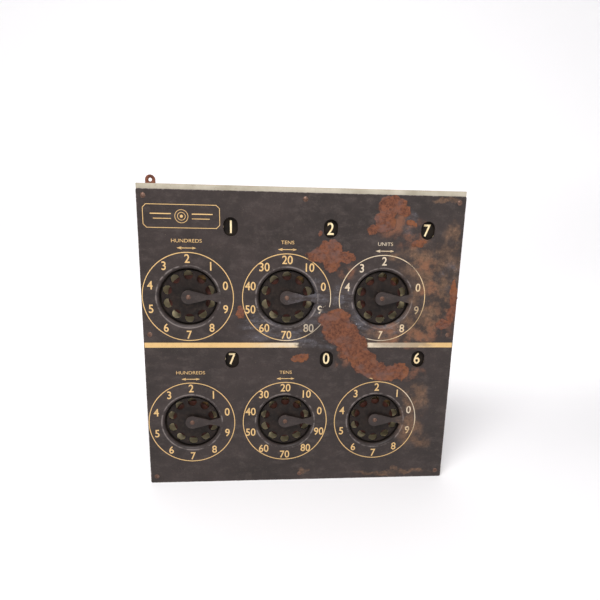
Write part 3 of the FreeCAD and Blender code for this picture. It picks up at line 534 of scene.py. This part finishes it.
def glyph_mesh(text, bold):
    """The built-in typeface as a flat mesh in its own XY plane, centred on its own middle."""
    curve = bpy.data.curves.new("glyph", "FONT")
    curve.body = text
    curve.size = 1.0
    curve.offset = bold
    curve.resolution_u = 8
    curve.extrude = PRINT_HIGH / 2
    holder = link(bpy.data.objects.new("glyph", curve))
    bpy.context.view_layer.update()
    evaluated = holder.evaluated_get(bpy.context.evaluated_depsgraph_get())
    mesh = bpy.data.meshes.new_from_object(evaluated)
    bpy.data.objects.remove(holder)
    low = Vector((min(v.co.x for v in mesh.vertices), min(v.co.y for v in mesh.vertices), 0))
    high = Vector((max(v.co.x for v in mesh.vertices), max(v.co.y for v in mesh.vertices), 0))
    mesh.transform(Matrix.Translation(-(low + high) / 2))
    return mesh, high - low


def lettering(name, marks, y, material, bold=0.010):
    """Joins words or numerals: each mark is (text, x, z, height, width scale, tilt in degrees)."""
    vertices, faces = [], []
    for text, x, z, height, stretch, tilt in marks:
        mesh, extent = glyph_mesh(text, bold)
        scale = height / extent.y
        stand = Matrix(((1, 0, 0, 0), (0, 0, -1, 0), (0, 1, 0, 0), (0, 0, 0, 1)))
        shape = Matrix.Diagonal((scale * stretch, scale, 1, 1))
        turn = Matrix.Rotation(-math.radians(tilt), 4, "Y")
        mesh.transform(Matrix.Translation((x, y - 0.3 * PRINT_HIGH, z)) @ turn @ stand @ shape)
        start = len(vertices)
        vertices += [v.co.copy() for v in mesh.vertices]
        faces += [[start + i for i in polygon.vertices] for polygon in mesh.polygons]
        bpy.data.meshes.remove(mesh)
    return mesh_piece(name, vertices, faces, material)


def outline_box(centre_x, centre_z, half_wide, half_high, chamfer, line):
    """A closed frame with chamfered corners, as quads between an inner and an outer outline."""
    def octagon(grow):
        w, h = half_wide + grow, half_high + grow
        c = chamfer + grow * (math.sqrt(2) - 1) * math.sqrt(2)
        corners = ((w, -h + c), (w, h - c), (w - c, h), (-w + c, h), (-w, h - c), (-w, -h + c),
                   (-w + c, -h), (w - c, -h))
        return [(centre_x + x, centre_z + z) for x, z in corners]
    inner, outer = octagon(-line / 2), octagon(line / 2)
    return [[inner[i], outer[i], outer[(i + 1) % 8], inner[(i + 1) % 8]] for i in range(8)]


def rectangle(x, z, half_wide, half_high):
    return [(x - half_wide, z - half_high), (x + half_wide, z - half_high),
            (x + half_wide, z + half_high), (x - half_wide, z + half_high)]


def disc_outline(x, z, radius, segments=32):
    return [(x + radius * math.cos(2 * math.pi * i / segments),
             z + radius * math.sin(2 * math.pi * i / segments)) for i in range(segments)]


RING_RADIUS = 63.5 * MM
RING_LINE = 1.15 * MM
NUMERAL_CIRCLE = 55.0 * MM
NUMERAL_HIGH = 12.2 * MM
NUMERAL_NARROW = 0.92
LABEL_HIGH = 4.8 * MM
LABEL_WIDE = 1.16
LABEL_THIN = -0.004
ARROW_ABOVE = 69.5 * MM
LABEL_ABOVE = 79.5 * MM


def on_panel(piece):
    """Print that stays on the panel."""
    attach(piece, "case")


def arrow(x, z):
    """A double-ended arrow, its left head the larger."""
    left, right = x - 13.8 * MM, x + 13.2 * MM
    left_long, right_long, barb, shaft = 7.0 * MM, 6.0 * MM, 1.6 * MM, 0.5 * MM
    left_half, right_half = 2.1 * MM, 1.8 * MM
    start, end = left + left_long - barb, right - right_long + barb
    return [
        [(left, z), (left + left_long, z - left_half), (start, z),
         (left + left_long, z + left_half)],
        rectangle((start + end) / 2, z, (end - start) / 2 + barb / 2, shaft),
        [(right, z), (right - right_long, z + right_half), (end, z),
         (right - right_long, z - right_half)],
    ]


for name in DIALS:
    centre = DIAL_CENTRE[name]
    column = name.split("_")[1]
    on_panel(ring(f"ring_{name}", centre, RING_RADIUS, RING_LINE, PANEL_Y, PRINT))
    marks = []
    for digit in range(10):
        angle = math.radians(FIRST_NUMERAL + STEP * digit)
        text = str(digit * 10) if column == "tens" else str(digit)
        marks.append((text, centre.x + NUMERAL_CIRCLE * math.cos(angle),
                      centre.z + NUMERAL_CIRCLE * math.sin(angle), NUMERAL_HIGH, NUMERAL_NARROW, 0.0))
    on_panel(lettering(f"numerals_{name}", marks, PANEL_Y, PRINT))
    on_panel(raised(f"arrow_{name}", arrow(centre.x, centre.z + ARROW_ABOVE), PANEL_Y, PRINT))
    label = (column.upper(), centre.x, centre.z + LABEL_ABOVE, LABEL_HIGH, LABEL_WIDE, 0.0)
    on_panel(lettering(f"label_{name}", [label], PANEL_Y, PRINT, LABEL_THIN))

STRIPE_Z = 221.2 * MM
STRIPE_HALF = 3.7 * MM
STRIPE_INSET = 1 * MM
stripe = rectangle(0, STRIPE_Z, PANEL_HIGH.x - STRIPE_INSET, STRIPE_HALF)
on_panel(raised("stripe", [stripe], PANEL_Y, PRINT))

# The nameplate keeps its outline; a plain target between two bars stands where its words were.
PLATE_X, PLATE_Z = -169.3 * MM, 404.2 * MM
plate = outline_box(PLATE_X, PLATE_Z, 51.5 * MM, 15.6 * MM, 4.5 * MM, 0.8 * MM)
for side in (-1, 1):
    plate.append(rectangle(PLATE_X + side * 28 * MM, PLATE_Z + 3.2 * MM, 14 * MM, 0.7 * MM))
    plate.append(rectangle(PLATE_X + side * 26 * MM, PLATE_Z - 3.2 * MM, 12 * MM, 0.5 * MM))
plate.append(disc_outline(PLATE_X, PLATE_Z, 2.0 * MM))
on_panel(raised("nameplate_frame", plate, PANEL_Y, PRINT))
for index, radius in enumerate((5.2 * MM, 8.8 * MM)):
    centre = Vector((PLATE_X, 0, PLATE_Z))
    on_panel(ring(f"nameplate_ring_{index + 1}", centre, radius, 0.7 * MM, PANEL_Y, PRINT, 64))

# ----------------------------------------------------------- numerals on the discs
# They run clockwise, so a wheel turned clockwise to its stop takes its number from the score.

DISC_NUMERAL_HIGH = 17.4 * MM
DISC_NUMERAL_NARROW = 0.86
for name in DIALS:
    centre = DISC_CENTRE[name]
    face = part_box(f"number_disc_{name}")[0].y
    to_window = centre - DIAL_CENTRE[name]
    window_angle = math.degrees(math.atan2(to_window.z, to_window.x))
    circle = WINDOW_REACH - math.hypot(to_window.x, to_window.z)
    marks = []
    for digit in range(10):
        turn = STEP * (SHOWN[name] - digit)
        angle = math.radians(window_angle + turn)
        marks.append((str(digit), centre.x + circle * math.cos(angle),
                      centre.z + circle * math.sin(angle), DISC_NUMERAL_HIGH,
                      DISC_NUMERAL_NARROW, turn))
    piece = lettering(f"disc_numerals_{name}", marks, face, DISC_PRINT)
    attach(piece, f"number_{name}")

# ------------------------------------------------------------------ studio

def studio():
    """A pale floor that sweeps up into a wall, under large soft lights; floor and wall also glow towards the back,
    as painted light.
    """
    s = Shader("studio_white_glowing")
    s.surface(linear(241, 239, 240), 0.8)
    # Painted light: the floor and wall glow, from nothing near the board to full far behind it, and that glow
    # lights the board like a lamp.
    s.bsdf.inputs["Emission Color"].default_value = (1.0, 0.99, 1.0, 1.0)
    behind = s.add("ShaderNodeSeparateXYZ")
    s.feed(behind.inputs[0], s.place)
    glow = s.band(behind.outputs[1], 60, 700)
    s.feed(s.bsdf.inputs["Emission Strength"], s.math("MULTIPLY", glow, 0.42))
    front, back, sweep, top, half = -1.6, 1.6, 0.9, 3.2, 8.0
    profile = [(front, 0.0)]
    for step in range(13):
        angle = math.pi / 2 * step / 12
        profile.append((back + sweep * math.sin(angle), sweep - sweep * math.cos(angle)))
    profile.append((back + sweep, top))
    vertices = [(side * half, y, z) for y, z in profile for side in (-1, 1)]
    faces = [[2 * i, 2 * i + 1, 2 * i + 3, 2 * i + 2] for i in range(len(profile) - 1)]
    floor = mesh_piece("studio_floor", vertices, faces, s.material)
    for polygon in floor.data.polygons:
        polygon.use_smooth = True

    def softbox(name, place, target, wide, high, power):
        light = bpy.data.lights.new(name, "AREA")
        light.shape = "RECTANGLE"
        light.size, light.size_y = wide, high
        light.energy = power
        lamp = link(bpy.data.objects.new(name, light))
        lamp.location = place
        lamp.rotation_euler = (Vector(target) - Vector(place)).to_track_quat("-Z", "Y").to_euler()

    softbox("key", (-0.45, -1.05, 1.75), (0, 0, 0.25), 1.1, 0.8, 40)
    softbox("fill", (1.2, -1.7, 1.0), (0, 0, 0.22), 0.9, 0.9, 7)
    world = bpy.data.worlds.new("studio_air")
    bpy.context.scene.world = world
    world.use_nodes = True
    sky = world.node_tree.nodes["Background"]
    sky.inputs["Color"].default_value = (0.97, 0.98, 1.0, 1.0)
    sky.inputs["Strength"].default_value = 0.36


def camera():
    """A wide lens a little left of the middle, level with the top row, looking slightly down."""
    data = bpy.data.cameras.new("camera")
    data.sensor_width = 36.0
    data.lens = 24.62
    view = link(bpy.data.objects.new("camera", data))
    to_the_right, downward, rolled = (math.radians(angle) for angle in (4.2, 11.2, 1.24))
    place = Vector((-47.5, -580.0, 404.3)) * MM + Vector((0, PANEL_Y, 0))
    turn = (Matrix.Rotation(-to_the_right, 4, "Z") @ Matrix.Rotation(math.pi / 2 - downward, 4, "X")
            @ Matrix.Rotation(rolled, 4, "Z"))
    view.matrix_world = Matrix.Translation(place) @ turn
    bpy.context.scene.camera = view


studio()
camera()
bpy.context.scene.view_settings.view_transform = "Standard"
